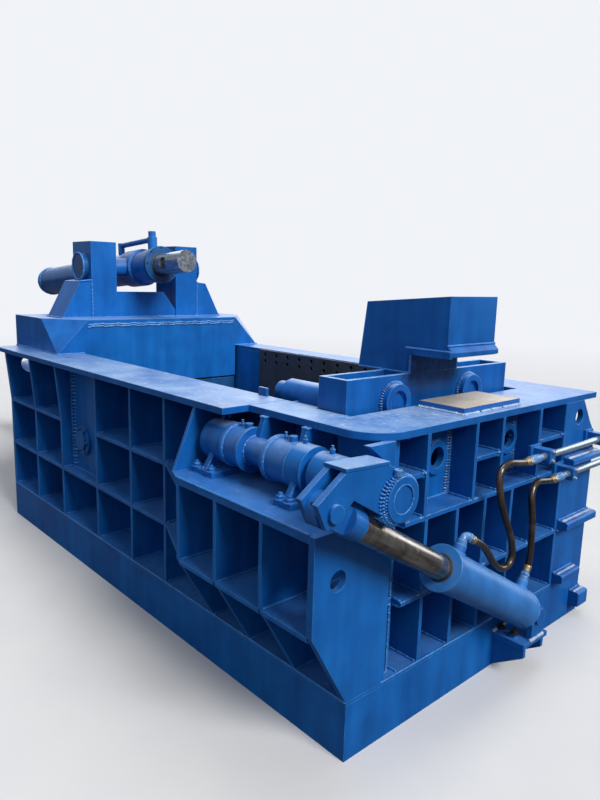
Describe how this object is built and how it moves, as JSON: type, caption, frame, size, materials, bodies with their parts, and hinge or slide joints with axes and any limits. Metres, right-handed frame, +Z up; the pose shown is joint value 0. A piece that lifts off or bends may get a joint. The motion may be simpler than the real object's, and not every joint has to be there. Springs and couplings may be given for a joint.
{
  "type": "scrap metal baling press",
  "caption": "Hydraulic baling press with a ribbed box frame, open chamber, lid cylinder on a pedestal, sliding end gate and a swinging bale tray.",
  "frame": {"origin": "middle of the skid's underside, on the floor", "axes": "+X along the machine from the pedestal towards the crank end, +Y from the bearing side to the far side, +Z up"},
  "size_m": [5.082, 2.498, 1.8002],
  "materials": {
    "blue_paint": "semi-gloss enamel, brushed and sprayed over weld beads, dusty on level tops",
    "dark_paint": "semi-gloss enamel in shade",
    "bare_steel": "bare machined steel",
    "liner_steel": "bare dark wear plate",
    "polished_rod": "plated rod with a brownish oil film",
    "rusty_steel": "bare plate with light rust",
    "hose_rubber": "wire-braided hose, satin"
  },
  "bodies": {
    "frame": {"skid": "blue_paint", "deck_plate": "blue_paint", "floor_beams": "blue_paint", "floor_liner": "liner_steel", "front_wall_plate": "blue_paint", "front_liner": "liner_steel", "front_ribs": "blue_paint", "front_shelves": "blue_paint", "round_cover": "blue_paint", "bay_ribs": "blue_paint", "bay_platform": "blue_paint", "near_corner_plate": "blue_paint", "end_wall_plate": "blue_paint", "end_ribs": "blue_paint", "end_shelves": "blue_paint", "ring_collars": "blue_paint", "far_corner_plates": "blue_paint", "end_ledges": "blue_paint", "far_wall_plate": "blue_paint", "far_ribs": "blue_paint", "far_liner": "liner_steel", "left_end_plate": "blue_paint", "top_flange_front": "blue_paint", "top_flange_end": "blue_paint", "top_flange_far": "blue_paint", "landing_pad": "rusty_steel", "gate_guides": "bare_steel", "pedestal": "blue_paint", "tower_near": "blue_paint", "tower_far": "blue_paint", "saddle_plate": "blue_paint", "trunnion_caps": "dark_paint", "bearing_left": "blue_paint", "bearing_right": "blue_paint", "foot_bolts": "blue_paint", "cylinder_bracket": "blue_paint", "base_pin": "blue_paint", "pipe_clamps": "blue_paint", "supply_pipes": "bare_steel", "hose_rod_end": "hose_rubber", "hose_base_end": "hose_rubber", "main_barrel": "blue_paint", "side_barrel": "blue_paint"},
    "lid_cylinder": {"lid_barrel": "blue_paint", "lid_gland": "dark_paint", "lid_port_pipe": "blue_paint"},
    "lid_piston_rod": {"lid_rod": "polished_rod"},
    "turnout_tray": {"turnout_shaft": "blue_paint", "crank_hub": "blue_paint", "crank_fork": "blue_paint", "crank_pin_caps": "blue_paint", "tray_hubs": "blue_paint", "tray": "blue_paint"},
    "turnout_cylinder": {"turnout_barrel": "blue_paint", "turnout_ports": "blue_paint"},
    "turnout_piston_rod": {"turnout_rod": "polished_rod"},
    "end_gate": {"gate_beam": "blue_paint", "gate_head": "blue_paint"},
    "main_press": {"main_ram": "dark_paint"},
    "side_press": {"side_ram": "dark_paint"}
  },
  "joints": [
    {"name": "lid_cylinder_tilt", "type": "hinge", "parent": "frame", "child": "lid_cylinder", "pos_m": [-1.29, 0.05, 1.568], "axis": [0, 1, 0], "range_deg": [-12, 18]},
    {"name": "lid_cylinder_stroke", "type": "slide", "parent": "lid_cylinder", "child": "lid_piston_rod", "axis": [0.9971, 0, 0.0767], "range_m": [0, 1.4]},
    {"name": "tray_turn", "type": "hinge", "parent": "frame", "child": "turnout_tray", "pos_m": [1.06, -0.702, 0.912], "axis": [1, 0, 0], "range_deg": [0, 90]},
    {"name": "turnout_cylinder_swing", "type": "hinge", "parent": "frame", "child": "turnout_cylinder", "pos_m": [1.547, 0.196, 0.244], "axis": [1, 0, 0], "range_deg": [0, 6.43]},
    {"name": "turnout_cylinder_stroke", "type": "slide", "parent": "turnout_cylinder", "child": "turnout_piston_rod", "axis": [0, -0.8627, 0.5057], "range_m": [-0.3502, 0]},
    {"name": "gate_slide", "type": "slide", "parent": "frame", "child": "end_gate", "axis": [0, 0, 1], "range_m": [-0.169, 0]},
    {"name": "main_press_stroke", "type": "slide", "parent": "frame", "child": "main_press", "axis": [1, 0, 0], "range_m": [0, 1.82]},
    {"name": "side_press_stroke", "type": "slide", "parent": "frame", "child": "side_press", "axis": [0, -1, 0], "range_m": [0, 0.49]}
  ],
  "couplings": [
    {"joint": "turnout_cylinder_swing", "follows": "tray_turn", "ratio": 0.070388},
    {"joint": "turnout_cylinder_stroke", "follows": "tray_turn", "m_per_rad": -0.22164}
  ]
}
